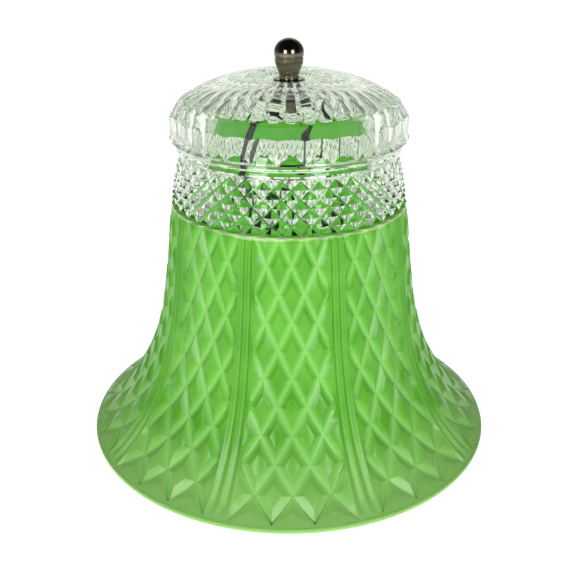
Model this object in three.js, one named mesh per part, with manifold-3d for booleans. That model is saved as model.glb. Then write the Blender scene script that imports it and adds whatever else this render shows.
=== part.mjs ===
// A bell-shaped pressed-glass lamp shade with its finial and harp.
// Millimetres, +Z up. The origin is the centre of the circle that the shade stands on, and the harp's two
// arms lie in the XZ plane. Heights are stacked from the rim up to the seat in the dome, and the harp hangs
// down from that seat.
import * as THREE from 'three';
import { mergeVertices } from 'three/addons/utils/BufferGeometryUtils.js';
import Module from 'manifold-3d';

const wasm = await Module();
wasm.setup();

// ---------------------------------------------------------------- driving sizes
const gap = 0.3; // between pieces that touch on the real object
const wall = 4.0; // pressed glass of the skirt and the dome

// the glass, outside: radii
const rimRadius = 120;
const neckRadius = 59.4; // the narrowest place, under the ring beads
const waistFlare = 6.6; // the waist, where the skirt begins, is this much wider than the neck
const bandStep = 5.8; // the faceted band stands out from the neck by this much
const shoulderStep = 5.2; // the bevel of the shoulder comes in by this much
const crestRadius = 22; // circle of the highest points of the dome
const dimpleRadius = 9.2; // flat at the bottom of the dimple, under the finial

// the glass, outside: heights, from the rim up
const rimBand = 3.4;
const skirtHeight = 140.7;
const neckHeight = 28.6;
const beadHeight = 3.9;
const bandHeight = 12.8;
const shoulderHeight = 6.5;
const domeHeight = 13.2;
const dimpleDepth = 5.4;
const rimBevel = 0.8;

// the glass, inside
const plungerDraft = 0.9; // the inside of the neck and band comes in by this much over its height
const innerSeatRadius = 15.5;

// the finial
const ballRadius = 8.05;
const ballFlat = 0.95; // height of the ball as a share of its width
const ballSink = 2.8; // the crease under the ball, below its centre
const cupHeight = 10.2;
const finialNeckWall = 1.8;
const flangeRadius = 8.6;
const flangeHeight = 2.0;

// the stack on the stud
const studRadius = 3.175; // quarter-inch thread
const threadEngagement = 10.8;
const feltHeight = 0.8;
const cushionHeight = 1.5;
const cushionRadius = 13;
const discHeight = 1.5;
const discRadius = 15;
const discRoll = 0.9; // rolled edge of the disc
const nutHeight = 3.0;
const nutAcrossFlats = 11;
const crownRadius = 5.0;
const crownHeight = 8.4;
const studDepth = 2.9; // how far the stud sits in the crown

// the harp
const wireRadius = 1.6;
const harpHeight = 99.7; // from the seat disc down to the underside of the saddle
const harpClearance = 4.8; // from the arms to the inside of the neck
const shoulderBend = 27; // radius of the harp's upper corners
const saddleHalf = 19.5; // from the axis to each prong
const saddleWidth = 20;
const plateHeight = 1.8;
const prongFoot = 2.2;
const prongHeight = 6.2; // of the round part of a prong, inside the sleeve
const pipeHoleRadius = 5.2;
const sleeveLength = 12;
const sleeveWall = 1.2;
const sleeveTravel = 12;

// ---------------------------------------------------------------- worked-out levels
const waistRadius = neckRadius + waistFlare;
const bandRadius = neckRadius + bandStep;
const shoulderRadius = bandRadius - shoulderStep;
const neckTop = skirtHeight + neckHeight;
const bandBottom = neckTop + 2 * beadHeight;
const bandTop = bandBottom + bandHeight;
const shoulderTop = bandTop + shoulderHeight;
const crestTop = shoulderTop + domeHeight;
const seatTop = crestTop - dimpleDepth;
const seatUnder = seatTop - wall;
const finialWasherBottom = seatTop + gap;
const boreRadius = studRadius + gap; // every hole that the stud passes through
const glassHoleRadius = studRadius + 2.3;
const finialBottom = finialWasherBottom + feltHeight + gap;
const finialNeckRadius = boreRadius + finialNeckWall;
const cupBottom = finialBottom + flangeHeight;
const ballCentre = cupBottom + cupHeight + gap + ballSink;
const studTop = finialBottom + threadEngagement;
const cushionTop = seatUnder - gap;
const discTop = cushionTop - cushionHeight - gap;
const nutTop = discTop - discHeight - gap;
const crownTop = nutTop - nutHeight - gap;
const crownBottom = crownTop - crownHeight;
const wireHoleRadius = wireRadius + gap;
const wireTop = crownBottom + wireHoleRadius + 0.7; // height of the wire's line where it crosses the crown
const saddleBottom = discTop - discHeight - harpHeight;
const prongBottom = saddleBottom + plateHeight + prongFoot;
const wireBottom = prongBottom + prongHeight + gap;
const harpHalf = neckRadius - wall - harpClearance - wireRadius;

// ---------------------------------------------------------------- helpers
const v2 = (x, y) => new THREE.Vector2(x, y);

/** Points of a cubic curve, the first one left out, for joining onto an outline. */
function curve(from, c1, c2, to, steps) {
  return new THREE.CubicBezierCurve(from, c1, c2, to).getPoints(steps).slice(1);
}

/** Turns an outline about the Z axis. A closed outline ends on its first point. */
function turned(outline, segments) {
  const geometry = new THREE.LatheGeometry(outline, segments);
  geometry.rotateX(Math.PI / 2);
  return geometry;
}

/** A ring with a bevelled outside, from inner to outer radius and from bottom to top. */
function ring(inner, outer, bottom, top, bevel, segments) {
  return turned([
    v2(inner, bottom), v2(outer - bevel, bottom), v2(outer, bottom + bevel),
    v2(outer, top - bevel), v2(outer - bevel, top), v2(inner, top), v2(inner, bottom),
  ], segments);
}

function solid(geometry) {
  const bare = geometry.clone();
  bare.deleteAttribute('normal');
  bare.deleteAttribute('uv');
  const merged = mergeVertices(bare, 1e-4);
  return new wasm.Manifold(new wasm.Mesh({
    numProp: 3,
    vertProperties: new Float32Array(merged.attributes.position.array),
    triVerts: new Uint32Array(merged.index.array),
  }));
}

function geometryOf(manifold) {
  const mesh = manifold.getMesh();
  const geometry = new THREE.BufferGeometry();
  geometry.setAttribute('position', new THREE.BufferAttribute(new Float32Array(mesh.vertProperties), 3));
  geometry.setIndex(new THREE.BufferAttribute(new Uint32Array(mesh.triVerts), 1));
  geometry.computeVertexNormals();
  return geometry;
}

function circlePath(radius, segments, Kind = THREE.Path) {
  const path = new Kind();
  for (let i = 0; i < segments; i += 1) {
    const angle = (2 * Math.PI * i) / segments;
    const x = radius * Math.cos(angle);
    const y = radius * Math.sin(angle);
    if (i === 0) path.moveTo(x, y);
    else path.lineTo(x, y);
  }
  path.closePath();
  return path;
}

/** A round bar standing on Z, or turned onto X. */
function bar(radius, bottom, top, segments) {
  return turned([v2(0, bottom), v2(radius, bottom), v2(radius, top), v2(0, top)], segments);
}

// ---------------------------------------------------------------- the glass
function glassBell() {
  const beadProud = (bandRadius - neckRadius) / 2;
  const outside = [
    v2(rimRadius - rimBevel, 0), v2(rimRadius, rimBevel), v2(rimRadius, rimBand),
    ...curve(
      v2(rimRadius - rimBevel, rimBand),
      v2(waistRadius + 2.8, rimBand + 0.257 * (skirtHeight - rimBand)),
      v2(waistRadius + 7.1, rimBand + 0.738 * (skirtHeight - rimBand)),
      v2(waistRadius, skirtHeight),
      9,
    ),
    v2(neckRadius + 4.2, skirtHeight + 0.7 * neckHeight), v2(neckRadius, neckTop),
    v2(neckRadius + beadProud, neckTop + 0.3 * beadHeight),
    v2(neckRadius + beadProud, neckTop + 0.8 * beadHeight),
    v2(neckRadius + 0.7 * beadProud, neckTop + beadHeight),
    v2(bandRadius, neckTop + 1.3 * beadHeight),
    v2(bandRadius, bandTop),
    ...curve(
      v2(shoulderRadius, shoulderTop),
      v2(shoulderRadius - 10, shoulderTop + 0.5 * domeHeight),
      v2(crestRadius + 14, crestTop),
      v2(crestRadius, crestTop),
      5,
    ),
    ...curve(
      v2(crestRadius, crestTop),
      v2(crestRadius - 6, crestTop),
      v2(dimpleRadius + 3.3, seatTop),
      v2(dimpleRadius, seatTop),
      3,
    ),
    v2(glassHoleRadius, seatTop),
  ];
  const innerNeck = neckRadius - wall;
  const innerShoulder = bandTop - 1.5;
  const innerCrest = crestTop - wall - 0.4;
  const inside = [
    v2(glassHoleRadius, seatUnder), v2(innerSeatRadius, seatUnder),
    ...curve(
      v2(innerSeatRadius, seatUnder),
      v2(innerSeatRadius + 3.5, seatUnder),
      v2(innerSeatRadius + 4.5, innerCrest),
      v2(crestRadius + 2, innerCrest),
      3,
    ),
    ...curve(
      v2(crestRadius + 2, innerCrest),
      v2(crestRadius + 16, innerCrest),
      v2(innerNeck - plungerDraft - 2.5, innerShoulder + 10.5),
      v2(innerNeck - plungerDraft, innerShoulder),
      4,
    ),
    v2(innerNeck, neckTop),
    ...curve(
      v2(waistRadius - wall, skirtHeight),
      v2(waistRadius + 7.1 - wall, rimBand + 0.738 * (skirtHeight - rimBand)),
      v2(waistRadius + 2.8 - wall, 0.257 * (skirtHeight - rimBand)),
      v2(rimRadius - wall, 0),
      8,
    ),
  ];
  const outline = [...outside, ...inside];
  return turned([...outline, outline[0]], 72);
}

// ---------------------------------------------------------------- the finial and what it clamps
function finialKnob() {
  const creaseHeight = ballCentre - ballSink;
  const creaseAngle = Math.asin(ballSink / (ballRadius * ballFlat));
  const ball = new THREE.EllipseCurve(
    0, ballCentre, ballRadius, ballRadius * ballFlat, -creaseAngle, Math.PI / 2,
  ).getPoints(9);
  ball[ball.length - 1].x = 0;
  const cupTop = v2(ballRadius - 0.15, creaseHeight - gap);
  return turned([
    v2(0, studTop + 1.6), v2(boreRadius, studTop + gap), v2(boreRadius, finialBottom),
    v2(flangeRadius - 0.5, finialBottom), v2(flangeRadius, finialBottom + 0.5),
    v2(flangeRadius, cupBottom - 0.7), v2(flangeRadius - 0.7, cupBottom),
    v2(finialNeckRadius, cupBottom),
    ...curve(
      v2(finialNeckRadius, cupBottom),
      v2(finialNeckRadius, cupBottom + 0.45 * cupHeight),
      v2(ballRadius - 0.45, cupBottom + 0.6 * cupHeight),
      cupTop,
      6,
    ),
    ...ball,
  ], 32);
}

function seatDisc() {
  const bottom = discTop - discHeight;
  return turned([
    v2(boreRadius, bottom), v2(discRadius - 2, bottom), v2(discRadius - 0.6, bottom - discRoll),
    v2(discRadius, bottom - discRoll), v2(discRadius, discTop - 0.5), v2(discRadius - 0.5, discTop),
    v2(boreRadius, discTop), v2(boreRadius, bottom),
  ], 36);
}

function seatNut() {
  const hexagon = circlePath(nutAcrossFlats / Math.sqrt(3), 6, THREE.Shape);
  hexagon.holes.push(circlePath(boreRadius, 24));
  const geometry = new THREE.ExtrudeGeometry(hexagon, { depth: nutHeight, bevelEnabled: false });
  geometry.translate(0, 0, nutTop - nutHeight);
  return geometry;
}

// ---------------------------------------------------------------- the harp
function harpCrown() {
  const block = solid(turned([
    v2(0, crownBottom), v2(crownRadius - 0.8, crownBottom), v2(crownRadius, crownBottom + 0.8),
    v2(crownRadius, crownTop - 0.4), v2(crownRadius - 0.4, crownTop), v2(0, crownTop),
  ], 32));
  const cross = bar(wireHoleRadius, -2 * crownRadius, 2 * crownRadius, 20);
  cross.rotateY(Math.PI / 2);
  cross.translate(0, 0, wireTop);
  const socket = bar(boreRadius, crownTop - studDepth - gap, crownTop + 1, 24);
  return geometryOf(block.subtract(solid(cross)).subtract(solid(socket)));
}

/** One side of the harp's line, from the foot of the arm up and in to the crown. */
function armCurves(side) {
  const at = (x, z) => new THREE.Vector3(side * x, 0, z);
  const straightTop = wireBottom + sleeveLength + sleeveTravel - prongHeight;
  const bendBottom = wireTop - shoulderBend;
  const span = bendBottom - straightTop;
  const corner = 0.5523 * shoulderBend; // a cubic curve's handle for a quarter circle
  return [
    new THREE.LineCurve3(at(saddleHalf, wireBottom), at(saddleHalf, straightTop)),
    new THREE.CubicBezierCurve3(
      at(saddleHalf, straightTop), at(saddleHalf, straightTop + 0.45 * span),
      at(harpHalf, bendBottom - 0.55 * span), at(harpHalf, bendBottom),
    ),
    new THREE.CubicBezierCurve3(
      at(harpHalf, bendBottom), at(harpHalf, bendBottom + corner),
      at(harpHalf - shoulderBend + corner, wireTop), at(harpHalf - shoulderBend, wireTop),
    ),
  ];
}

function harpWire() {
  const left = armCurves(-1);
  const right = armCurves(1);
  const points = [];
  const add = (curve3, count) => points.push(...curve3.getPoints(count).slice(1));
  points.push(left[0].getPoint(0));
  add(left[0], 2);
  add(left[1], 14);
  add(left[2], 9);
  points.push(right[2].getPoint(1));
  const mirrored = points.slice(0, -1).map((p) => new THREE.Vector3(-p.x, p.y, p.z)).reverse();
  points.push(...mirrored.slice(1));
  const line = new THREE.CurvePath();
  for (let i = 1; i < points.length; i += 1) line.add(new THREE.LineCurve3(points[i - 1], points[i]));
  return new THREE.ExtrudeGeometry(circlePath(wireRadius, 8, THREE.Shape), {
    extrudePath: line, steps: 64, bevelEnabled: false,
  });
}

function lockSleeve(side) {
  const bottom = prongBottom + gap;
  const inner = wireRadius + gap;
  const outer = inner + sleeveWall;
  const geometry = turned([
    v2(inner, bottom), v2(outer + 0.5, bottom), v2(outer + 0.5, bottom + 1.4), v2(outer, bottom + 1.9),
    v2(outer, bottom + sleeveLength - 0.5), v2(outer - 0.5, bottom + sleeveLength),
    v2(inner, bottom + sleeveLength), v2(inner, bottom),
  ], 20);
  geometry.translate(side * saddleHalf, 0, 0);
  return geometry;
}

/** The strip under the harp: a plate with a hole for the lamp's pipe and a prong at each end. */
function harpSaddle() {
  const half = saddleHalf + 3.5;
  const waist = pipeHoleRadius + 4;
  const plate = new THREE.Shape();
  plate.moveTo(-half, -4);
  plate.lineTo(-waist, -saddleWidth / 2);
  plate.lineTo(waist, -saddleWidth / 2);
  plate.lineTo(half, -4);
  plate.lineTo(half, 4);
  plate.lineTo(waist, saddleWidth / 2);
  plate.lineTo(-waist, saddleWidth / 2);
  plate.lineTo(-half, 4);
  plate.closePath();
  plate.holes.push(circlePath(pipeHoleRadius, 28));
  const flat = new THREE.ExtrudeGeometry(plate, { depth: plateHeight, bevelEnabled: false });
  flat.translate(0, 0, saddleBottom);
  let body = solid(flat);
  for (const side of [-1, 1]) {
    const foot = new THREE.BoxGeometry(7, 6, prongFoot + 0.5);
    foot.translate(side * saddleHalf, 0, prongBottom - (prongFoot + 0.5) / 2);
    const prong = bar(wireRadius, prongBottom - 0.5, prongBottom + prongHeight, 16);
    prong.translate(side * saddleHalf, 0, 0);
    body = body.add(solid(foot)).add(solid(prong));
  }
  return geometryOf(body);
}

// ---------------------------------------------------------------- the object
const glass = new THREE.MeshStandardMaterial({ color: 0x7cc556, roughness: 0.25, metalness: 0 });
const nickel = new THREE.MeshStandardMaterial({ color: 0xb9b3a6, roughness: 0.15, metalness: 1 });
const felt = new THREE.MeshStandardMaterial({ color: 0x2c2a27, roughness: 0.95, metalness: 0 });
const steel = new THREE.MeshStandardMaterial({ color: 0x8d8c88, roughness: 0.35, metalness: 1 });

function piece(name, geometry, material) {
  const mesh = new THREE.Mesh(geometry, material);
  mesh.name = name;
  return mesh;
}

const group = new THREE.Group();
group.add(
  piece('glass_bell', glassBell(), glass),
  piece('finial_knob', finialKnob(), nickel),
  piece('finial_washer', ring(
    boreRadius, flangeRadius - 0.8, finialWasherBottom, finialWasherBottom + feltHeight, 0.2, 32,
  ), felt),
  piece('seat_cushion', ring(boreRadius, cushionRadius, cushionTop - cushionHeight, cushionTop, 0.4, 32), felt),
  piece('seat_disc', seatDisc(), nickel),
  piece('seat_nut', seatNut(), nickel),
  piece('harp_stud', bar(studRadius, crownTop - studDepth, studTop, 24), nickel),
  piece('harp_crown', harpCrown(), nickel),
  piece('harp_wire', harpWire(), steel),
  piece('left_lock_sleeve', lockSleeve(-1), nickel),
  piece('right_lock_sleeve', lockSleeve(1), nickel),
  piece('harp_saddle', harpSaddle(), steel),
);

export default group;
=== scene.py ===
# %% [markdown]
# A bell-shaped lamp shade of pressed glass, standing on its rim. The top is clear glass, the skirt is
# coated a satin green, a nickel finial screws down on a stud, and a small wire harp hangs inside. The
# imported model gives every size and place, and this file gives the surfaces. The frame comes first.

# %% Load the frame
import bisect
import math

import bmesh
import bpy
from mathutils import Matrix, Vector


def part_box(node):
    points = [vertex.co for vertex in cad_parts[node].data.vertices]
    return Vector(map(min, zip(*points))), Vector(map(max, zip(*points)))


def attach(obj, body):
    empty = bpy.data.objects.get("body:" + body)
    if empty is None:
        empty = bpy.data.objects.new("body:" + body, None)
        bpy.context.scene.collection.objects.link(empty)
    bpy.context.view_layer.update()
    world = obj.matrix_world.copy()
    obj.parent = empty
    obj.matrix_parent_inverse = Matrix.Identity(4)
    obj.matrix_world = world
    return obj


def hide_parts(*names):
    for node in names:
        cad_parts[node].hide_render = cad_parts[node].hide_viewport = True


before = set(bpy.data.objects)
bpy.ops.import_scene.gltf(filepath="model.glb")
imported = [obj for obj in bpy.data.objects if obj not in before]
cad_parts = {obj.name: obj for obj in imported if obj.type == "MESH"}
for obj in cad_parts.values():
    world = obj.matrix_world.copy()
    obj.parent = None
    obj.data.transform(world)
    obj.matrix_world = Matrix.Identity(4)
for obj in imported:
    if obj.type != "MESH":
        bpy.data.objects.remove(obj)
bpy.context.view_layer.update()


MM = 0.001

# %% [markdown]
# The viewpoint is a product shot: a little above the shoulder of the bell, looking down at its middle.
# The harp's arms lie along X, and the bell is seen from one side of them, so the camera stands at an
# angle around Z.

# %% The camera
CAMERA_ANGLE = math.radians(208.93)  # around Z, from +X
CAMERA_DISTANCE = 464.4 * MM  # from the bell's axis
CAMERA_HEIGHT = 295.2 * MM
CAMERA_PITCH = math.radians(24.6)  # downwards
camera_data = bpy.data.cameras.new("product_camera")
camera_data.sensor_width = 36
camera_data.lens = 53.13
camera_data.shift_x = 0.0017
camera_data.clip_start = 0.01
camera = bpy.data.objects.new("product_camera", camera_data)
camera.location = (
    CAMERA_DISTANCE * math.cos(CAMERA_ANGLE),
    CAMERA_DISTANCE * math.sin(CAMERA_ANGLE),
    CAMERA_HEIGHT,
)
camera.rotation_euler = (math.pi / 2 - CAMERA_PITCH, 0, CAMERA_ANGLE + math.pi / 2)
bpy.context.scene.collection.objects.link(camera)
bpy.context.scene.camera = camera
print("camera at", [round(v, 4) for v in camera.location])


# %% [markdown]
# Every colour below is an sRGB hex value, as a colour picker gives it, and shaders want linear light. One
# small function adds a node, sets what is asked and links what is asked.

# %% Helpers for materials
def linear(hex_colour):
    """An sRGB hex colour as linear RGBA."""
    parts = [int(hex_colour[i : i + 2], 16) / 255 for i in (1, 3, 5)]
    curve = [c / 12.92 if c <= 0.04045 else ((c + 0.055) / 1.055) ** 2.4 for c in parts]
    return (*curve, 1.0)


def new_material(name):
    material = bpy.data.materials.new(name)
    material.use_nodes = True
    material.node_tree.nodes.clear()
    return material


def add_node(material, kind, settings=None, **sockets):
    """Adds a node. A socket's value is a number, a colour, or another node's output to link from."""
    node = material.node_tree.nodes.new(kind)
    for name, value in (settings or {}).items():
        setattr(node, name, value)
    for name, value in sockets.items():
        socket = node.inputs[int(name[1:])] if name[0] == "_" else node.inputs[name.replace("_", " ")]
        if isinstance(value, bpy.types.NodeSocket):
            material.node_tree.links.new(value, socket)
        else:
            socket.default_value = value
    return node


# %% [markdown]
# The glass is drawn by its outline, as a mould maker draws it. Heights and radii are in millimetres. The
# outline of the skirt is one long curve, and the pattern on it is spaced evenly along that curve, so a
# function gives the point and the outward direction at any length along it.

# %% Outlines
glass_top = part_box("glass_bell")[1]
RIM_RADIUS = glass_top.x / MM
CREST_HEIGHT = glass_top.z / MM
WALL = 4.0
RIM_BAND = 3.4
WAIST_RADIUS, SKIRT_TOP = 66.0, 140.7
NECK_RADIUS, NECK_TOP = 59.4, 169.3
BAND_RADIUS, BAND_BOTTOM, BAND_TOP = 65.2, 177.1, 189.9
SHOULDER_RADIUS, SHOULDER_TOP = 60.0, 196.4
CREST_RADIUS, DIMPLE_RADIUS = 22.0, 9.2
SEAT_TOP = CREST_HEIGHT - 5.4
HOLE_RADIUS = 5.475


def bezier(a, b, c, d, steps):
    """Points of a cubic curve, both ends included."""
    points = []
    for i in range(steps + 1):
        t = i / steps
        w = ((1 - t) ** 3, 3 * t * (1 - t) ** 2, 3 * t * t * (1 - t), t**3)
        points.append(tuple(sum(k * p[axis] for k, p in zip(w, (a, b, c, d))) for axis in (0, 1)))
    return points


class Outline:
    """A line of (radius, height) points, measured by its length from the first one."""

    def __init__(self, points):
        self.points = points
        self.lengths = [0.0]
        for p, q in zip(points, points[1:]):
            self.lengths.append(self.lengths[-1] + math.dist(p, q))

    @property
    def length(self):
        return self.lengths[-1]

    def at(self, s):
        """The point at a length, and the outward direction there."""
        i = min(max(bisect.bisect_right(self.lengths, s), 1), len(self.points) - 1)
        p, q = self.points[i - 1], self.points[i]
        step = self.lengths[i] - self.lengths[i - 1]
        t = (s - self.lengths[i - 1]) / step
        r, z = (p[k] + t * (q[k] - p[k]) for k in (0, 1))
        return r, z, (q[1] - p[1]) / step, -(q[0] - p[0]) / step

    def wrap(self, angle, s, proud):
        """A point of the surface at an angle around Z, standing proud of the outline, in metres."""
        r, z, out, up = self.at(s)
        r, z = (r + proud * out) * MM, (z + proud * up) * MM
        return Vector((r * math.cos(angle), r * math.sin(angle), z))


skirt_outline = Outline(
    bezier(
        (RIM_RADIUS - 0.8, RIM_BAND),
        (WAIST_RADIUS + 2.8, RIM_BAND + 0.257 * (SKIRT_TOP - RIM_BAND)),
        (WAIST_RADIUS + 7.1, RIM_BAND + 0.738 * (SKIRT_TOP - RIM_BAND)),
        (WAIST_RADIUS, SKIRT_TOP),
        240,
    )
)
print("the skirt's outline is", round(skirt_outline.length, 1), "mm long")

# %% [markdown]
# The skirt's pattern repeats nine times: a panel of tall raised diamonds, and a band of three ribs. A
# panel is made flat, in millimetres, as a grid turned so that its squares stand on their points. Insets
# raise a table in the middle of each cell. Cut to a strip and wrapped on the outline, the panel becomes a
# ninth of the skirt.

# %% The pattern's sizes
PANELS = 9
FIRST_PANEL = math.radians(210)
HALF_PITCH = math.radians(5.45)  # from one column of crossings to the next
HALF_COLUMNS = 3  # of half pitches, from a panel's centre line to its edge
COLUMN = 8.0  # a half pitch in the flat strip
ROWS_BOTTOM = 1.4  # the tips of the lowest diamonds, along the outline
ROW = 15.1  # from one row of crossings to the next, along the outline
RELIEF_DEPTH = 2.1  # the tables stand this far above the bottoms of the grooves
RIB_HALF_BAND = math.pi / PANELS - HALF_COLUMNS * HALF_PITCH
# Each pair is an inset and a rise: half a groove's floor, its rounded foot, the slope, the eased table edge.
RELIEF = [(0.42, 0.0), (0.45, 0.22), (3.05, 1.78), (0.25, 0.10)]
print(PANELS, "panels, and bands of ribs", round(math.degrees(2 * RIB_HALF_BAND), 1), "degrees wide")


def cut(strip, level, axis, clear_above=False, clear_below=False):
    """Cuts a flat strip across an axis, and clears what lies above or below the cut."""
    normal = Vector((axis == 0, axis == 1, 0))
    bmesh.ops.bisect_plane(
        strip, geom=strip.verts[:] + strip.edges[:] + strip.faces[:], dist=1e-5, plane_co=normal * level,
        plane_no=normal, clear_outer=clear_above, clear_inner=clear_below,
    )


def raise_cells(mesh, relief):
    """Insets every face, again and again. Relief is a list of (inset, rise) in millimetres."""
    cells = mesh.faces[:]
    for inset, rise in relief:
        bmesh.ops.inset_individual(mesh, faces=cells, thickness=inset, depth=rise, use_even_offset=True)


def at_level(strip, level, axis):
    return [v for v in strip.verts if abs(v.co[axis] - level) < 1e-3]


# %% The flat panel of diamonds
FACE_EDGE = HALF_COLUMNS * COLUMN
STRIP_TOP = skirt_outline.length - 2.6
GRID_CELLS = 9
GRID_MIDDLE = ROWS_BOTTOM + 6 * ROW
strip = bmesh.new()
turn = Matrix(((COLUMN, -COLUMN, 0, 0), (ROW, ROW, 0, GRID_MIDDLE), (0, 0, 1, -RELIEF_DEPTH), (0, 0, 0, 1)))
bmesh.ops.create_grid(strip, x_segments=GRID_CELLS, y_segments=GRID_CELLS, size=GRID_CELLS / 2, matrix=turn)
raise_cells(strip, RELIEF)
cut(strip, FACE_EDGE, 0, clear_above=True)
cut(strip, -FACE_EDGE, 0, clear_below=True)
cut(strip, ROWS_BOTTOM, 1, clear_below=True)
cut(strip, STRIP_TOP, 1, clear_above=True)
print("flat panel:", len(strip.faces), "faces")

# %% [markdown]
# At the rim the lowest cells open into flat triangles that stand on a plain band, so their inner corners
# move out to the tips of the diamonds. Upright and level cuts then let the strip bend with the bell.

# %% The foot of the panel, and the cuts that let it bend
for vert in at_level(strip, ROWS_BOTTOM, 1):
    column = vert.co.x / COLUMN
    tip = 2 * math.floor(column / 2) + 1
    vert.co.x = COLUMN * max(min(tip, HALF_COLUMNS), -HALF_COLUMNS)
    vert.co.z = 0
bmesh.ops.remove_doubles(strip, verts=strip.verts, dist=1e-3)
for step in range(-2 * HALF_COLUMNS + 1, 2 * HALF_COLUMNS):
    cut(strip, step * COLUMN / 2, 0)
LEVEL_CUTS = 26
for step in range(1, LEVEL_CUTS):
    cut(strip, ROWS_BOTTOM + (STRIP_TOP - ROWS_BOTTOM) * step / LEVEL_CUTS, 1)
print("panel with its cuts:", len(strip.faces), "faces")

# %% The ribs at the sides of the panel
RIB_STEPS = 10
RIB_PROUD = 0.3
GROOVE_DEPTH = 1.2
EDGE_RISE = 0.35  # the grooves run out towards the ribs, to this share of their depth
RIB_WIDTH = COLUMN * RIB_HALF_BAND / HALF_PITCH


def rib_height(share, s):
    """How proud the ribs stand, from a panel's edge (0) to the middle of the band (1)."""
    wave = 0.5 + 0.5 * math.cos(2 * math.pi * max(share - 0.12, 0) / 0.88)
    ends = min(max((s - ROWS_BOTTOM - 1.5) / 5.0, 0), 1)
    return ends * ((RIB_PROUD + GROOVE_DEPTH) * wave - GROOVE_DEPTH)


def made_of(geometry, kind):
    return [g for g in geometry if isinstance(g, kind)]


for side in (-1, 1):
    edge_verts = set(at_level(strip, side * FACE_EDGE, 0))
    for vert in edge_verts:
        vert.co.z *= EDGE_RISE
    row = [e for e in strip.edges if e.is_boundary and edge_verts.issuperset(e.verts)]
    for step in range(1, RIB_STEPS + 1):
        made = bmesh.ops.extrude_edge_only(strip, edges=row)["geom"]
        share = step / RIB_STEPS
        for vert in made_of(made, bmesh.types.BMVert):
            vert.co.x = side * (FACE_EDGE + share * RIB_WIDTH)
            vert.co.z = rib_height(share, vert.co.y)
        row = [e for e in made_of(made, bmesh.types.BMEdge) if e.is_boundary]
        row = [e for e in row if abs(e.verts[0].co.x - e.verts[1].co.x) < 1e-4]
print("panel with its ribs:", len(strip.faces), "faces")

# %% [markdown]
# Wrapping is one move of every vertex: how far along the strip becomes how far along the outline, and how
# far across becomes an angle. The depth of each point is kept as an attribute, so the coat's colour can
# follow it: the grooves get a painted highlight.

# %% Wrap nine panels on the bell
CLEAR, COATED, BEHIND_COAT = 0, 1, 2  # the glass's material slots
glass = bmesh.new()
valley = glass.verts.layers.float.new("valley")
panel_mesh = bpy.data.meshes.new("panel")
strip.to_mesh(panel_mesh)
strip.free()
for panel in range(PANELS):
    before = len(glass.verts)
    glass.from_mesh(panel_mesh)
    glass.verts.ensure_lookup_table()
    middle = FIRST_PANEL + 2 * math.pi * panel / PANELS
    for vert in glass.verts[before:]:
        x, s, proud = vert.co
        vert[valley] = min(max(-proud / RELIEF_DEPTH, 0), 1)
        vert.co = skirt_outline.wrap(middle + x / COLUMN * HALF_PITCH, s, proud)
bpy.data.meshes.remove(panel_mesh)
bmesh.ops.remove_doubles(glass, verts=glass.verts, dist=1e-6)
for face in glass.faces:
    face.material_index = COATED
print("skirt:", len(glass.faces), "faces")

# %% [markdown]
# The rest grows from open edges. A ring of edges is extruded, its new vertices are set to a radius and
# height at the same angle, and so on round by round. The foot is made so: a fine groove, a rounded lip
# and a flat underside.

# %% Growing rings, and the foot
def open_ring(mesh, low, high):
    """The open edges that lie between two heights, in millimetres."""
    inside = {v for v in mesh.verts if low * MM <= v.co.z <= high * MM}
    return [e for e in mesh.edges if e.is_boundary and inside.issuperset(e.verts)]


def grow(mesh, ring, levels):
    """Extrudes a ring of edges through levels: each a radius and height, or a function of the angle."""
    for level in levels:
        made = bmesh.ops.extrude_edge_only(mesh, edges=ring)["geom"]
        for vert in made_of(made, bmesh.types.BMVert):
            angle = math.atan2(vert.co.y, vert.co.x)
            r, z = level(angle) if callable(level) else level
            vert.co = Vector((r * math.cos(angle), r * math.sin(angle), z)) * MM
        new = set(made_of(made, bmesh.types.BMVert))
        ring = [e for e in made_of(made, bmesh.types.BMEdge) if e.verts[0] in new and e.verts[1] in new]
    return ring


LIP = [(119.05, 3.75), (118.45, 3.5), (118.5, 3.25), (119.2, 3.1), (119.75, 2.6), (120.0, 1.85)]
LIP += [(119.9, 1.05), (119.5, 0.4), (118.8, 0.0), (116.6, 0.0), (116.0, 0.12)]
top_ring = [skirt_outline.at(skirt_outline.length - back)[:2] for back in (1.9, 0.2)]
grow(glass, open_ring(glass, SKIRT_TOP - 6, SKIRT_TOP + 1), [(r - 0.2, z) for r, z in top_ring])
bottom_open = open_ring(glass, RIM_BAND - 1, RIM_BAND + 3)
foot_ring = grow(glass, bottom_open, LIP)
for face in glass.faces:
    face.material_index = COATED
print("foot ring:", len(foot_ring), "edges")

# %% [markdown]
# The neck is cut like a hobnail: small pointed diamonds in a lattice. Poking lifts a point in the middle
# of each square of a turned grid. Forty diamonds go round, and the lattice closes on itself where the
# strip's ends meet.

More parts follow.
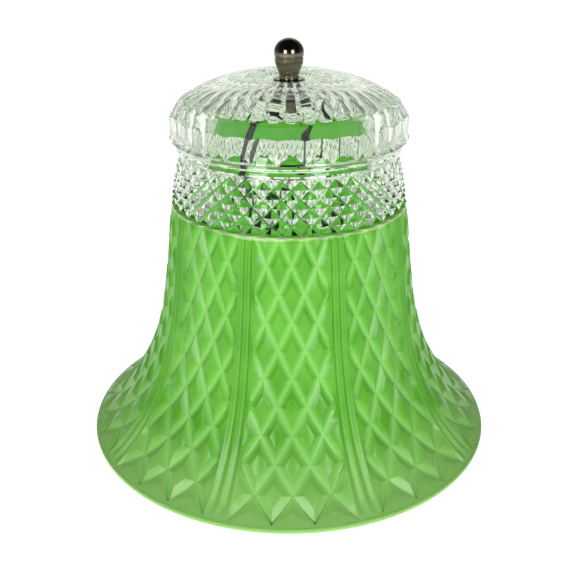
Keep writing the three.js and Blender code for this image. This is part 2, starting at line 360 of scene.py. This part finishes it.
# %% The hobnail neck
NECK_DIAMONDS = 40
HOBNAIL_UNIT = 4  # diamonds in the flat strip that is repeated
HOBNAIL_ROW = 4.72  # from one row of crossings to the next, along the outline
LATTICE_LINE = 0.3  # half the width of the flat line between two diamonds
LATTICE_SUNK, POINT_PROUD = -1.7, 0.5  # steep enough to bend the view up or down into the bell
neck_curve = bezier((WAIST_RADIUS, SKIRT_TOP), (64.9, 150.0), (63.4, 162.0), (NECK_RADIUS, NECK_TOP), 60)
neck_outline = Outline(neck_curve)
half_diamond = math.pi / NECK_DIAMONDS
HOBNAIL_COLUMN = 4.95  # half a diamond in the flat strip
HOB_CELLS = 12
HOB_BOTTOM, HOB_ROWS = 0.5, 6  # the lattice starts just above the coat's edge
hob_middle = HOB_BOTTOM + HOB_ROWS / 2 * HOBNAIL_ROW
hob = bmesh.new()
hob_turn = Matrix(((HOBNAIL_COLUMN, -HOBNAIL_COLUMN, 0, 0), (HOBNAIL_ROW, HOBNAIL_ROW, 0, hob_middle),
                   (0, 0, 1, LATTICE_SUNK), (0, 0, 0, 1)))
bmesh.ops.create_grid(hob, x_segments=HOB_CELLS, y_segments=HOB_CELLS, size=HOB_CELLS / 2, matrix=hob_turn)
hob_cells = hob.faces[:]
bmesh.ops.inset_individual(hob, faces=hob_cells, thickness=LATTICE_LINE, depth=0, use_even_offset=True)
bmesh.ops.poke(hob, faces=hob_cells, offset=POINT_PROUD - LATTICE_SUNK)
cut(hob, HOBNAIL_UNIT * HOBNAIL_COLUMN, 0, clear_above=True)
cut(hob, -HOBNAIL_UNIT * HOBNAIL_COLUMN, 0, clear_below=True)
cut(hob, HOB_BOTTOM, 1, clear_below=True)
cut(hob, HOB_BOTTOM + HOB_ROWS * HOBNAIL_ROW, 1, clear_above=True)
hob_mesh = bpy.data.meshes.new("hobnail")
hob.to_mesh(hob_mesh)
hob.free()
neck = bmesh.new()
for unit in range(NECK_DIAMONDS // HOBNAIL_UNIT):
    before = len(neck.verts)
    neck.from_mesh(hob_mesh)
    neck.verts.ensure_lookup_table()
    for vert in neck.verts[before:]:
        x, s, proud = vert.co
        angle = FIRST_PANEL + (2 * HOBNAIL_UNIT * unit + x / HOBNAIL_COLUMN) * half_diamond
        vert.co = neck_outline.wrap(angle, s, proud)
bmesh.ops.remove_doubles(neck, verts=neck.verts, dist=2e-6)
print("neck:", len(neck.faces), "faces")

# %% [markdown]
# Above the neck come two ring beads, a band of thirty upright bars with arched feet, a bevel, and a dome
# with forty shallow flutes. One ring of 240 edges serves them all, because 240 divides by both. The same
# ring then goes through the hole and down the smooth inside, which a plunger pressed.

# %% The beads, the band, the bevel and the dome
AROUND = 240
BARS, FLUTES = 30, 40
FACET_HOLLOW = 0.9  # the middle of a flat bar lies this much nearer the axis than its edges
FLUTE_DEPTH = 1.0


def across(angle, count):
    """How far an angle lies from the middle of its bar or flute, from -1 to 1."""
    turns = (angle - FIRST_PANEL) / (2 * math.pi) * count
    return 2 * (turns - round(turns))


def bar_radius(angle):
    return BAND_RADIUS - FACET_HOLLOW * (1 - across(angle, BARS) ** 2)


def arch(height, rise):
    return lambda angle: (bar_radius(angle), height + rise * (1 - across(angle, BARS) ** 2))


def fluted(r, z, share):
    """A level of the dome: flat petals with a narrow groove between each two."""
    return lambda angle: (r, z - share * FLUTE_DEPTH * max(0, abs(across(angle, FLUTES)) - 0.6) / 0.4)


def bead(bottom, top, radius, proud, steps=6):
    """A half-round ring bead: its outline from bottom to top."""
    middle, half = (bottom + top) / 2, (top - bottom) / 2
    turns = [math.pi * (i / steps - 0.5) for i in range(steps + 1)]
    return [(radius + proud * math.cos(t) ** 0.8, middle + half * math.sin(t)) for t in turns]


ring_levels = bead(NECK_TOP + 0.2, 173.5, NECK_RADIUS + 0.4, 2.6)
ring_levels += bead(173.8, BAND_BOTTOM, NECK_RADIUS + 1.6, 2.4)
ring_levels += [(63.6, 177.2), (65.1, 177.3), (BAND_RADIUS + 0.6, 177.7), arch(177.8, 3.7)]
ring_levels += [lambda a: (bar_radius(a), 186.0)]
ring_levels += [lambda a: (bar_radius(a), BAND_TOP + 0.8 * (BAND_RADIUS - bar_radius(a)))]
ring_levels += [(SHOULDER_RADIUS + 0.35, SHOULDER_TOP - 0.3)]
crest = (CREST_RADIUS, CREST_HEIGHT)
dome = bezier((SHOULDER_RADIUS, SHOULDER_TOP), (50, 203), (36, CREST_HEIGHT), crest, 16)
dimple = bezier(crest, (16, CREST_HEIGHT), (12.5, SEAT_TOP), (DIMPLE_RADIUS, SEAT_TOP), 10)
fades = [min(i / 2, 1) for i in range(17)] + [max(1 - i / 9, 0) for i in range(1, 11)]
ring_levels += [fluted(r, z, fade) for (r, z), fade in zip(dome + dimple[1:], fades)]
SEAT_UNDER = SEAT_TOP - WALL
ring_levels += [(HOLE_RADIUS + 0.4, SEAT_TOP), (HOLE_RADIUS, SEAT_TOP - 0.4)]
ring_levels += [(HOLE_RADIUS, SEAT_UNDER + 0.4), (HOLE_RADIUS + 0.4, SEAT_UNDER)]
INNER_SEAT, INNER_CREST, INNER_TOP = 15.5, 24, 205.2
inner_crest = (INNER_CREST, INNER_TOP)
inside = bezier((INNER_SEAT, SEAT_UNDER), (19, SEAT_UNDER), (20, INNER_TOP), inner_crest, 8)
inside += bezier(inner_crest, (38, INNER_TOP), (47.5, 200.9), (53.9, 194.9), 14)[1:]
inside += [(54.4, 194.3), (54.6, 193.4), (54.6, 188.4), (54.8, 181.0), (55.3, 172.0), (55.9, 168.0)]
inner_waist = (WAIST_RADIUS - WALL, SKIRT_TOP)
inside += bezier((55.9, 168.0), (58.2, 158.0), (60.9, 147.0), inner_waist, 8)[1:]
inside += bezier(inner_waist, (69.1, 104.7), (64.8, 35.3), (RIM_RADIUS - WALL, 0.0), 34)[1:-1]
upper = bmesh.new()
start_place = Matrix.Translation((0, 0, (NECK_TOP - 0.1) * MM)) @ Matrix.Rotation(FIRST_PANEL, 4, "Z")
bmesh.ops.create_circle(upper, segments=AROUND, radius=(NECK_RADIUS + 0.2) * MM, matrix=start_place)
grow(upper, upper.edges[:], ring_levels + inside)
print("upper glass and inside:", len(upper.faces), "faces")

# %% [markdown]
# The three meshes are joined into one shell by bridging their open rings, which may have different
# counts. With every ring bridged the shell is closed, like the real glass, and light can bend through it
# properly.

# %% Join the glass into one closed shell
def absorb(mesh, other):
    """Adds a mesh to another one, and frees it."""
    copy = bpy.data.meshes.new("part")
    other.to_mesh(copy)
    other.free()
    mesh.from_mesh(copy)
    bpy.data.meshes.remove(copy)


absorb(glass, neck)
absorb(glass, upper)


def bridge(mesh, low, high):
    made = bmesh.ops.bridge_loops(mesh, edges=open_ring(mesh, low, high))
    print("bridged", low, "to", high, "with", len(made["faces"]), "faces")


bridge(glass, SKIRT_TOP - 2, SKIRT_TOP + 4)
bridge(glass, NECK_TOP - 5, NECK_TOP + 4)
bridge(glass, -1, 12.0)

still_open = [e for e in glass.edges if not e.is_manifold]
COAT_TOP = SKIRT_TOP - 1.2
COAT_INNERMOST = 64.2  # faces bridged at the coat's edges lie further out, the inside of the neck nearer
bmesh.ops.recalc_face_normals(glass, faces=glass.faces)
for face in glass.faces:
    face.smooth = True
    centre = face.calc_center_median()
    if face.material_index == CLEAR and centre.z < COAT_TOP * MM:
        far_out = math.hypot(centre.x, centre.y) > COAT_INNERMOST * MM
        faces_out = face.normal.xy.dot(centre.xy) > 0
        face.material_index = COATED if far_out and faces_out else BEHIND_COAT
print("glass:", len(glass.faces), "faces,", len(still_open), "open or doubled edges")

# %% [markdown]
# Pressed soda-lime glass is clear with a faint green grey cast, and its skin is never quite flat: it
# froze against an iron mould, so its reflections waver a little. The skirt carries a satin green stain
# that was sprayed on and fired. It is matt enough to show the shape, and it is paler at its top edge.
# In the grooves and near the rim it is painted paler: painted highlights for the light those faces catch.

# %% The glass and its green coat
def output(material, shader):
    add_node(material, "ShaderNodeOutputMaterial", Surface=shader.outputs[0])


def object_place(material):
    return add_node(material, "ShaderNodeTexCoord").outputs["Object"]


def grain(material, size_mm, detail=2.0, roughness=0.5):
    """Noise whose lumps are about a size in millimetres."""
    return add_node(material, "ShaderNodeTexNoise", Vector=object_place(material), Scale=1 / (size_mm * MM),
                    Detail=detail, Roughness=roughness)


def remap(material, value, from_low, from_high, to_low, to_high):
    return add_node(material, "ShaderNodeMapRange", Value=value, From_Min=from_low, From_Max=from_high,
                    To_Min=to_low, To_Max=to_high).outputs[0]


def mix(material, share, a, b):
    """Mixes two colours: a where the share is 0, b where it is 1."""
    return add_node(material, "ShaderNodeMix", {"data_type": "RGBA"}, _0=share, _6=a, _7=b).outputs[2]


def bump(material, height, distance_mm, strength=1.0):
    return add_node(material, "ShaderNodeBump", Height=height, Distance=distance_mm * MM,
                    Strength=strength).outputs[0]


def pressed_glass():
    # Clear pressed glass: it bends what lies behind it, and small mould waves make its highlights waver.
    material = new_material("pressed_glass_clear")
    waves = grain(material, 7, 1.0).outputs[0]
    shader = add_node(material, "ShaderNodeBsdfPrincipled", Base_Color=linear("#E9EFE5"), Roughness=0.05,
                      IOR=1.5, Transmission_Weight=1.0, Normal=bump(material, waves, 0.003))
    output(material, shader)
    return material


def satin_green_coat():
    # Fired satin stain on pressed glass: an even soft sheen, paler at its top edge.
    # The grooves and the rim are mixed paler: painted highlights.
    material = new_material("satin_green_stain_on_glass")
    place = object_place(material)
    height = add_node(material, "ShaderNodeSeparateXYZ", Vector=place).outputs["Z"]
    cloud = grain(material, 22, 3.0).outputs[0]
    colour = mix(material, remap(material, cloud, 0.35, 0.65, 0, 1), linear("#509E20"), linear("#61AE2D"))
    # Painted highlight: near the rim the coat is mixed paler, for the light its flared foot catches.
    rim = remap(material, height, 0.0, 0.035, 0.85, 0)
    colour = mix(material, rim, colour, linear("#98CC74"))
    # Painted highlight: the coat is mixed paler in the grooves, for the light their rounded bottoms catch.
    depth = add_node(material, "ShaderNodeAttribute", {"attribute_name": "valley"}).outputs["Fac"]
    colour = mix(material, remap(material, depth, 0.3, 1.0, 0, 0.6), colour, linear("#8FD36C"))
    uneven = add_node(material, "ShaderNodeMath", {"operation": "MULTIPLY_ADD"}, _0=cloud, _1=0.004,
                      _2=height)
    edge = remap(material, uneven.outputs[0], (SKIRT_TOP + 0.5) * MM, (SKIRT_TOP + 1.7) * MM, 0, 0.45)
    colour = mix(material, edge, colour, linear("#D9DDBE"))
    skin = grain(material, 0.9, 2.0).outputs[0]
    satin = remap(material, cloud, 0.3, 0.7, 0.26, 0.34)
    shader = add_node(material, "ShaderNodeBsdfPrincipled", Base_Color=colour, Roughness=satin, IOR=1.5,
                      Specular_IOR_Level=0.32, Normal=bump(material, skin, 0.012))
    output(material, shader)
    return material


def stain_from_behind_with_painted_glow():
    # The same stain seen through the wall from inside: light comes through it, so it looks deep.
    # Its emission is painted light, a glow that stands in for that light.
    material = new_material("green_stain_behind_glass_painted_glow")
    cloud = grain(material, 22, 3.0).outputs[0]
    colour = mix(material, remap(material, cloud, 0.35, 0.65, 0, 1), linear("#479618"), linear("#5FAE2B"))
    # Painted light: the green emission makes the inside of the stain glow, though it is no lamp.
    shader = add_node(material, "ShaderNodeBsdfPrincipled", Base_Color=colour, Roughness=0.6, IOR=1.5,
                      Emission_Color=linear("#56A81C"), Emission_Strength=0.5)
    output(material, shader)
    return material


def finish_piece(name, mesh, materials, body, slot, *nodes, sharp=28):
    """Makes a bmesh an object at the origin, smooth but for sharp edges, on its body, hiding its CAD nodes.
    """
    data = bpy.data.meshes.new(name)
    mesh.to_mesh(data)
    mesh.free()
    data.shade_smooth()
    data.set_sharp_from_angle(angle=math.radians(sharp))
    for material in materials:
        data.materials.append(material)
    piece = bpy.data.objects.new(name, data)
    bpy.context.scene.collection.objects.link(piece)
    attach(piece, body)
    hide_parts(*nodes)
    print(name, "has", len(data.polygons), "faces")


glass_materials = [pressed_glass(), satin_green_coat(), stain_from_behind_with_painted_glow()]
finish_piece("pressed_glass_bell", glass, glass_materials, "shade", "pressed_glass", "glass_bell", sharp=22)

# %% [markdown]
# The small metal parts were turned or pressed from brass and steel and nickel plated. Nickel is a warm
# grey metal, close to a mirror when it is polished, with a faint haze and hairlines from wiping. Turned
# parts are made here as they are on a lathe: an outline is drawn and spun once round.

# %% Metals and felt
def polished_nickel():
    # Polished nickel plate on turned brass: warm mirror, faint haze, tiny hairlines round the axis.
    # Its colour is far darker than nickel's own: painted shade, so it looks as dark as in a dim room.
    material = new_material("polished_nickel_plate")
    haze = grain(material, 5, 3.0).outputs[0]
    place = object_place(material)
    lines = add_node(material, "ShaderNodeTexWave", {"bands_direction": "Z"}, Vector=place, Scale=180.0,
                     Distortion=3.0, Detail=2.0, Detail_Scale=3.0).outputs["Fac"]
    # Painted shade: both base colours are far darker than nickel's own, so the metal mirrors less of the
    # table.
    colour = mix(material, remap(material, haze, 0.3, 0.7, 0, 1), linear("#5E574C"), linear("#7A7163"))
    shader = add_node(material, "ShaderNodeBsdfPrincipled", Base_Color=colour, Metallic=1.0,
                      Roughness=remap(material, haze, 0.3, 0.7, 0.1, 0.2),
                      Normal=bump(material, lines, 0.004, 0.4))
    output(material, shader)
    return material


def plated_steel():
    # Zinc and nickel plated steel wire and strip: duller and darker than the finial, with drawn streaks.
    material = new_material("plated_steel_wire")
    streaks = grain(material, 1.2, 4.0, 0.7).outputs[0]
    colour = mix(material, remap(material, streaks, 0.3, 0.7, 0, 1), linear("#24221F"), linear("#3B3935"))
    shader = add_node(material, "ShaderNodeBsdfPrincipled", Base_Color=colour, Metallic=1.0,
                      Roughness=remap(material, streaks, 0.3, 0.7, 0.3, 0.45),
                      Normal=bump(material, streaks, 0.01, 0.5))
    output(material, shader)
    return material


def black_felt():
    # Pressed wool felt, die cut: matt, with a short nap. Its fibres are drawn 0.25 mm apart.
    material = new_material("pressed_black_felt")
    fibres = grain(material, 0.25, 4.0, 0.75).outputs[0]
    colour = mix(material, remap(material, fibres, 0.35, 0.65, 0, 1), linear("#1B1A18"), linear("#3A3733"))
    shader = add_node(material, "ShaderNodeBsdfPrincipled", Base_Color=colour, Roughness=0.95,
                      Sheen_Weight=0.3, Sheen_Roughness=0.5, Normal=bump(material, fibres, 0.12, 0.8))
    output(material, shader)
    return material


nickel, steel, felt = polished_nickel(), plated_steel(), black_felt()
print("materials:", nickel.name, steel.name, felt.name)

# %% Turning on the lathe
def turned(outline, steps=96, soften=0.0):
    """Spins an outline of (radius, height) points once round Z. Corners over 30 degrees can be softened."""
    mesh = bmesh.new()
    verts = [mesh.verts.new((r * MM, 0, z * MM)) for r, z in outline]
    edges = [mesh.edges.new(pair) for pair in zip(verts, verts[1:])]
    bmesh.ops.spin(mesh, geom=verts + edges, axis=(0, 0, 1), cent=(0, 0, 0), angle=2 * math.pi, steps=steps,
                   use_merge=True)
    bmesh.ops.remove_doubles(mesh, verts=mesh.verts, dist=1e-6)
    bmesh.ops.recalc_face_normals(mesh, faces=mesh.faces)
    if soften:
        hard = [e for e in mesh.edges if e.is_manifold and e.calc_face_angle() > math.radians(30)]
        bmesh.ops.bevel(mesh, geom=hard, offset=soften * MM, offset_type="OFFSET", segments=3,
                        profile=0.5, affect="EDGES", material=-1)
    return mesh


def span(node):
    """The lowest height, the highest height and the radius of a turned CAD piece, in millimetres."""
    low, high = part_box(node)
    return low.z / MM, high.z / MM, high.x / MM


STUD_RADIUS, GAP = 3.175, 0.3
BORE = STUD_RADIUS + GAP

# %% [markdown]
# The finial is one turned piece: a thin round foot, a neck that opens into a cup, a crease, and a ball.
# It unscrews, so it has a blind bore for the stud.

# %% The finial
foot_bottom, knob_top, FOOT_RADIUS = span("finial_knob")
BALL_RADIUS, BALL_FLAT, BALL_SINK, CUP_HEIGHT, FOOT_HEIGHT = 8.05, 0.95, 2.8, 10.2, 2.0
cup_bottom = foot_bottom + FOOT_HEIGHT
ball_middle = knob_top - BALL_RADIUS * BALL_FLAT
crease = ball_middle - BALL_SINK
stud_top = span("harp_stud")[1]
crease_turn = math.asin(BALL_SINK / (BALL_RADIUS * BALL_FLAT))
ball_turns = [-crease_turn + (math.pi / 2 + crease_turn) * i / 30 for i in range(31)]
ball_rise = BALL_RADIUS * BALL_FLAT
ball = [(BALL_RADIUS * math.cos(t), ball_middle + ball_rise * math.sin(t)) for t in ball_turns]
neck_radius = BORE + 1.8
cup = bezier((neck_radius, cup_bottom), (neck_radius, cup_bottom + 0.45 * CUP_HEIGHT),
             (BALL_RADIUS - 0.45, cup_bottom + 0.6 * CUP_HEIGHT), (BALL_RADIUS - 0.15, crease - 0.3), 20)
foot = [(0, stud_top + 1.6), (BORE, stud_top + GAP), (BORE, foot_bottom), (FOOT_RADIUS - 0.5, foot_bottom)]
rim_turns = [math.pi * (i / 8 - 0.5) for i in range(9)]
foot += [(FOOT_RADIUS - 0.8 + 0.8 * math.cos(t), foot_bottom + 1.0 + 1.0 * math.sin(t)) for t in rim_turns]
foot += [(neck_radius + 0.5, cup_bottom), (neck_radius + 0.12, cup_bottom + 0.12)]
crease_line = [(BALL_RADIUS - 0.55, crease - 0.2), (BALL_RADIUS - 0.55, crease - 0.08)]
knob_outline = foot + cup[1:] + crease_line + ball[:-1] + [(0, knob_top)]
knob = turned(knob_outline)
finish_piece("turned_nickel_finial", knob, [nickel], "finial", "nickel_plate", "finial_knob")

# %% [markdown]
# Under the finial's foot lies a thin felt washer, and under the dome a thicker felt ring on a pressed
# steel disc. Die-cut felt bulges a little at its cut edge, so the outside of each ring is a shallow arc.

# %% The felt rings and the seat disc
def felt_ring(node, bulge):
    low_z, high_z, radius = span(node)
    middle = (low_z + high_z) / 2
    half = (high_z - middle) / math.sin(1.2)
    turns = [1.2 * (i / 4 - 1) for i in range(9)]
    edge = [(radius - bulge * (1 - math.cos(t)), middle + half * math.sin(t)) for t in turns]
    return turned([(BORE, low_z)] + edge + [(BORE, high_z), (BORE, low_z)])


washer, cushion = felt_ring("finial_washer", 0.3), felt_ring("seat_cushion", 0.5)
finish_piece("felt_finial_washer", washer, [felt], "washer", "black_felt", "finial_washer", sharp=50)
finish_piece("felt_seat_cushion", cushion, [felt], "harp", "black_felt", "seat_cushion", sharp=50)
disc_low, disc_top, disc_radius = span("seat_disc")
disc_under = disc_top - 1.5
disc = [(BORE, disc_under), (disc_radius - 2.2, disc_under), (disc_radius - 1.4, disc_under - 0.35),
        (disc_radius - 1.0, disc_low), (disc_radius - 0.3, disc_low + 0.05), (disc_radius, disc_low + 0.4),
        (disc_radius, disc_top - 0.7), (disc_radius - 0.25, disc_top - 0.2), (disc_radius - 0.8, disc_top),
        (BORE, disc_top), (BORE, disc_under)]
finish_piece("pressed_seat_disc", turned(disc, soften=0.12), [nickel], "harp", "nickel_plate", "seat_disc")

# %% [markdown]
# The nut is a real hexagon: a six-sided ring is subdivided until its count matches the bore's, the two
# are bridged, and the face is extruded up. The stud's thread is a spin that climbs: a zigzag outline, one
# pitch up each turn.

# %% The nut and the threaded stud
nut_low, nut_high, nut_reach = span("seat_nut")
nut = bmesh.new()
bmesh.ops.create_circle(nut, segments=6, radius=nut_reach * MM, matrix=Matrix.Rotation(0, 4, "Z"))
bmesh.ops.subdivide_edges(nut, edges=nut.edges[:], cuts=3)
bmesh.ops.create_circle(nut, segments=24, radius=BORE * MM)
bmesh.ops.bridge_loops(nut, edges=nut.edges[:])
made = bmesh.ops.extrude_face_region(nut, geom=nut.faces[:])["geom"]
bmesh.ops.translate(nut, verts=made_of(made, bmesh.types.BMVert), vec=(0, 0, (nut_high - nut_low) * MM))
bmesh.ops.translate(nut, verts=nut.verts, vec=(0, 0, nut_low * MM))
bmesh.ops.recalc_face_normals(nut, faces=nut.faces)
nut_corners = [e for e in nut.edges if e.is_manifold and e.calc_face_angle() > math.radians(40)
               and max(v.co.xy.length for v in e.verts) > 4.5 * MM]
bmesh.ops.bevel(nut, geom=nut_corners, offset=0.35 * MM, offset_type="OFFSET", segments=2, profile=0.5,
                affect="EDGES", material=-1)
finish_piece("hexagon_seat_nut", nut, [nickel], "harp", "nickel_plate", "seat_nut")

stud_low, stud_high, _ = span("harp_stud")
PITCH, THREAD_DEPTH, STUD_STEPS = 0.94, 0.45, 32
stud = bmesh.new()
turns = math.ceil((stud_high - stud_low) / PITCH) + 3
half_pitches = range(2 * turns + 1)
zigzag = [(STUD_RADIUS - THREAD_DEPTH * (i % 2), stud_low + (i / 2 - 2) * PITCH) for i in half_pitches]
verts = [stud.verts.new((r * MM, 0, z * MM)) for r, z in zigzag]
edges = [stud.edges.new(pair) for pair in zip(verts, verts[1:])]
climb = (0, 0, PITCH * MM / STUD_STEPS)
bmesh.ops.spin(stud, geom=verts + edges, axis=(0, 0, 1), cent=(0, 0, 0), dvec=climb, angle=2 * math.pi,
               steps=STUD_STEPS)
bmesh.ops.remove_doubles(stud, verts=stud.verts, dist=2e-6)
for level, end in ((stud_low, "below"), (stud_high, "above")):
    bmesh.ops.bisect_plane(stud, geom=stud.verts[:] + stud.edges[:] + stud.faces[:], dist=1e-6,
                           plane_co=(0, 0, level * MM), plane_no=(0, 0, 1), clear_inner=end == "below",
                           clear_outer=end == "above")
bmesh.ops.holes_fill(stud, edges=[e for e in stud.edges if e.is_boundary])
bmesh.ops.recalc_face_normals(stud, faces=stud.faces)
print("open edges on the stud:", len([e for e in stud.edges if not e.is_manifold]))
finish_piece("threaded_harp_stud", stud, [nickel], "harp", "nickel_plate", "harp_stud", sharp=60)

# %% [markdown]
# The harp is one bent wire that runs through a turned block. Two sleeves slide on it and lock its feet to
# the prongs of a punched saddle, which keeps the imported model's shape. The wire is swept as a curve with
# round bends.

# %% The harp
crown_low, crown_high, crown_radius = span("harp_crown")
crown_outline = [(0, crown_low), (crown_radius, crown_low), (crown_radius, crown_high), (0, crown_high)]
crown = turned(crown_outline, soften=0.7)
finish_piece("turned_harp_crown", crown, [nickel], "harp", "nickel_plate", "harp_crown")

WIRE_RADIUS, BEND = 1.6, 27.0
SLEEVE_LENGTH, SLEEVE_TRAVEL, PRONG_HEIGHT = 12, 12, 6.2
ROUND = 0.5523  # a cubic curve's handle for a quarter circle
wire_low, wire_top, harp_half = span("harp_wire")
wire_line, arm_out, SADDLE_HALF = wire_top - WIRE_RADIUS, harp_half - WIRE_RADIUS, 19.5
arm_foot = wire_low
arm_straight = wire_low + SLEEVE_LENGTH + SLEEVE_TRAVEL - PRONG_HEIGHT
bend_bottom = wire_line - BEND
reach = bend_bottom - arm_straight
corner = ROUND * BEND
right_arm = [(SADDLE_HALF, arm_foot), (SADDLE_HALF, arm_straight - 6)]
right_arm += bezier((SADDLE_HALF, arm_straight), (SADDLE_HALF, arm_straight + 0.45 * reach),
                    (arm_out, bend_bottom - 0.55 * reach), (arm_out, bend_bottom), 24)
right_arm += bezier((arm_out, bend_bottom), (arm_out, bend_bottom + corner),
                    (arm_out - BEND + corner, wire_line), (arm_out - BEND, wire_line), 20)[1:]
path = right_arm + [(-x, z) for x, z in reversed(right_arm)]
wire_curve = bpy.data.curves.new("bent_harp_wire", "CURVE")
wire_curve.dimensions = "3D"
wire_curve.bevel_depth = WIRE_RADIUS * MM
wire_curve.bevel_resolution = 6
wire_curve.use_fill_caps = True
spline = wire_curve.splines.new("POLY")
spline.points.add(len(path) - 1)
for point, (x, z) in zip(spline.points, path):
    point.co = (x * MM, 0, z * MM, 1)
wire_curve.materials.append(steel)
wire = bpy.data.objects.new("bent_harp_wire", wire_curve)
bpy.context.scene.collection.objects.link(wire)
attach(wire, "harp")
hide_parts("harp_wire")

for side, name in ((-1, "left"), (1, "right")):
    sleeve_low, sleeve_high, _ = span(name + "_lock_sleeve")
    inner, outer = WIRE_RADIUS + GAP, WIRE_RADIUS + GAP + 1.2
    collar = [(outer + 0.5, sleeve_low), (outer + 0.5, sleeve_low + 1.4), (outer, sleeve_low + 1.9)]
    tube = [(outer, sleeve_high), (inner, sleeve_high), (inner, sleeve_low)]
    sleeve = turned([(inner, sleeve_low)] + collar + tube, steps=40, soften=0.25)
    bmesh.ops.translate(sleeve, verts=sleeve.verts, vec=(side * SADDLE_HALF * MM, 0, 0))
    body, node = name + "_sleeve", name + "_lock_sleeve"
    finish_piece(name + "_turned_sleeve", sleeve, [nickel], body, "nickel_plate", node)

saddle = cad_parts["harp_saddle"]
for slot in saddle.material_slots:
    slot.link = "OBJECT"
    slot.material = steel

# %% [markdown]
# The studio is a bright white table and three soft boxes: one on each side of the camera, and a large
# faint one behind the bell. The table glows from below, so the undersides of the facets are light. The
# room's strength depends on the ray. The camera sees it white, matt surfaces get only a little of it,
# reflections see it dark above and behind the camera, which gives the nickel its dark side, and light
# that has come through glass sees it brighter away from the camera.

# %% The floor, the lights and the room
floor_mesh = bmesh.new()
bmesh.ops.create_circle(floor_mesh, cap_ends=True, radius=6, segments=64)
floor_data = bpy.data.meshes.new("white_table")
floor_mesh.to_mesh(floor_data)
floor_mesh.free()
floor = bpy.data.objects.new("white_table", floor_data)
bpy.context.scene.collection.objects.link(floor)
paper = new_material("lit_white_acrylic")
grain_of_paper = grain(paper, 40, 2.0).outputs[0]
paper_colour = mix(paper, grain_of_paper, linear("#E6E6E6"), linear("#EAEAEA"))
output(paper, add_node(paper, "ShaderNodeBsdfPrincipled", Base_Color=paper_colour, Roughness=0.8,
                       Emission_Color=linear("#FFFFFF"), Emission_Strength=0.97))
floor_data.materials.append(paper)


def soft_light(name, angle, distance, height, size, power, aim=0.09):
    data = bpy.data.lights.new(name, "AREA")
    data.shape = "RECTANGLE"
    data.size, data.size_y = size
    data.energy = power
    light = bpy.data.objects.new(name, data)
    light.location = (distance * math.cos(angle), distance * math.sin(angle), height)
    light.rotation_euler = (light.location - Vector((0, 0, aim))).to_track_quat("Z", "Y").to_euler()
    bpy.context.scene.collection.objects.link(light)
    print(name, "gives", power, "W")


soft_light("left_softbox", CAMERA_ANGLE - math.radians(29), 0.95, 0.45, (0.3, 0.45), 4.25)
soft_light("right_softbox", CAMERA_ANGLE + math.radians(29), 0.95, 0.45, (0.3, 0.45), 4.0)
soft_light("rear_softbox", CAMERA_ANGLE + math.pi, 1.0, 0.6, (0.9, 0.9), 1.5)
world = bpy.data.worlds.new("studio")
bpy.context.scene.world = world
world.use_nodes = True
sky = world.node_tree.nodes["Background"]
sky.inputs["Color"].default_value = (1, 1, 1, 1)
direction = add_node(world, "ShaderNodeTexCoord").outputs["Generated"]
away = (-0.6 * math.cos(CAMERA_ANGLE), -0.6 * math.sin(CAMERA_ANGLE), -0.8)
behind = add_node(world, "ShaderNodeVectorMath", {"operation": "DOT_PRODUCT"}, _0=direction, _1=away)
room = remap(world, behind.outputs["Value"], -0.45, 0.4, 0.02, 0.34)
rays = add_node(world, "ShaderNodeLightPath").outputs
bent = remap(world, behind.outputs["Value"], -0.25, 0.65, 0.2, 0.9)
backdrop = remap(world, rays["Transmission Depth"], 0, 1, room, bent)
soft = remap(world, rays["Is Diffuse Ray"], 0, 1, backdrop, 0.1)
seen = remap(world, rays["Is Camera Ray"], 0, 1, soft, 0.97)
world.node_tree.links.new(seen, sky.inputs["Strength"])
bpy.context.scene.view_settings.view_transform = "Standard"
bounces = bpy.context.scene.cycles  # light crosses many faces of cut glass, so its paths must not end early
bounces.max_bounces = 32
bounces.glossy_bounces = 24
bounces.transmission_bounces = 32
